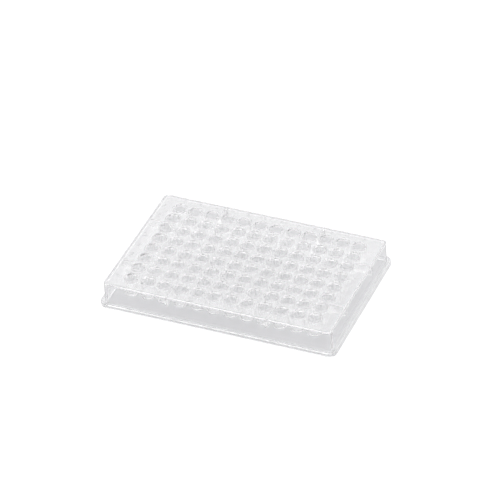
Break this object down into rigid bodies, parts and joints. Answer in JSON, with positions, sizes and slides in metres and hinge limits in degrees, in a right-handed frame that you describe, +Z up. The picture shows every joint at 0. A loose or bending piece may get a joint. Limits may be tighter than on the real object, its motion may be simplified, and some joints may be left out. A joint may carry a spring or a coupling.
{
  "type": "well plate",
  "caption": "Shallow rectangular clear plastic plate with a grid of round flat-bottomed wells in its deck and a flange round its foot.",
  "frame": {"origin": "middle of the footprint, on the surface that the plate stands on", "axes": "+X along the long side, +Y towards the back row of wells, +Z up out of the wells' mouths"},
  "size_m": [0.1278, 0.0854, 0.0143],
  "materials": {
    "clear_polystyrene": "clear, colourless injection-moulded polystyrene, glossy all over"
  },
  "bodies": {
    "root": {"well_plate": "clear_polystyrene"}
  },
  "joints": []
}
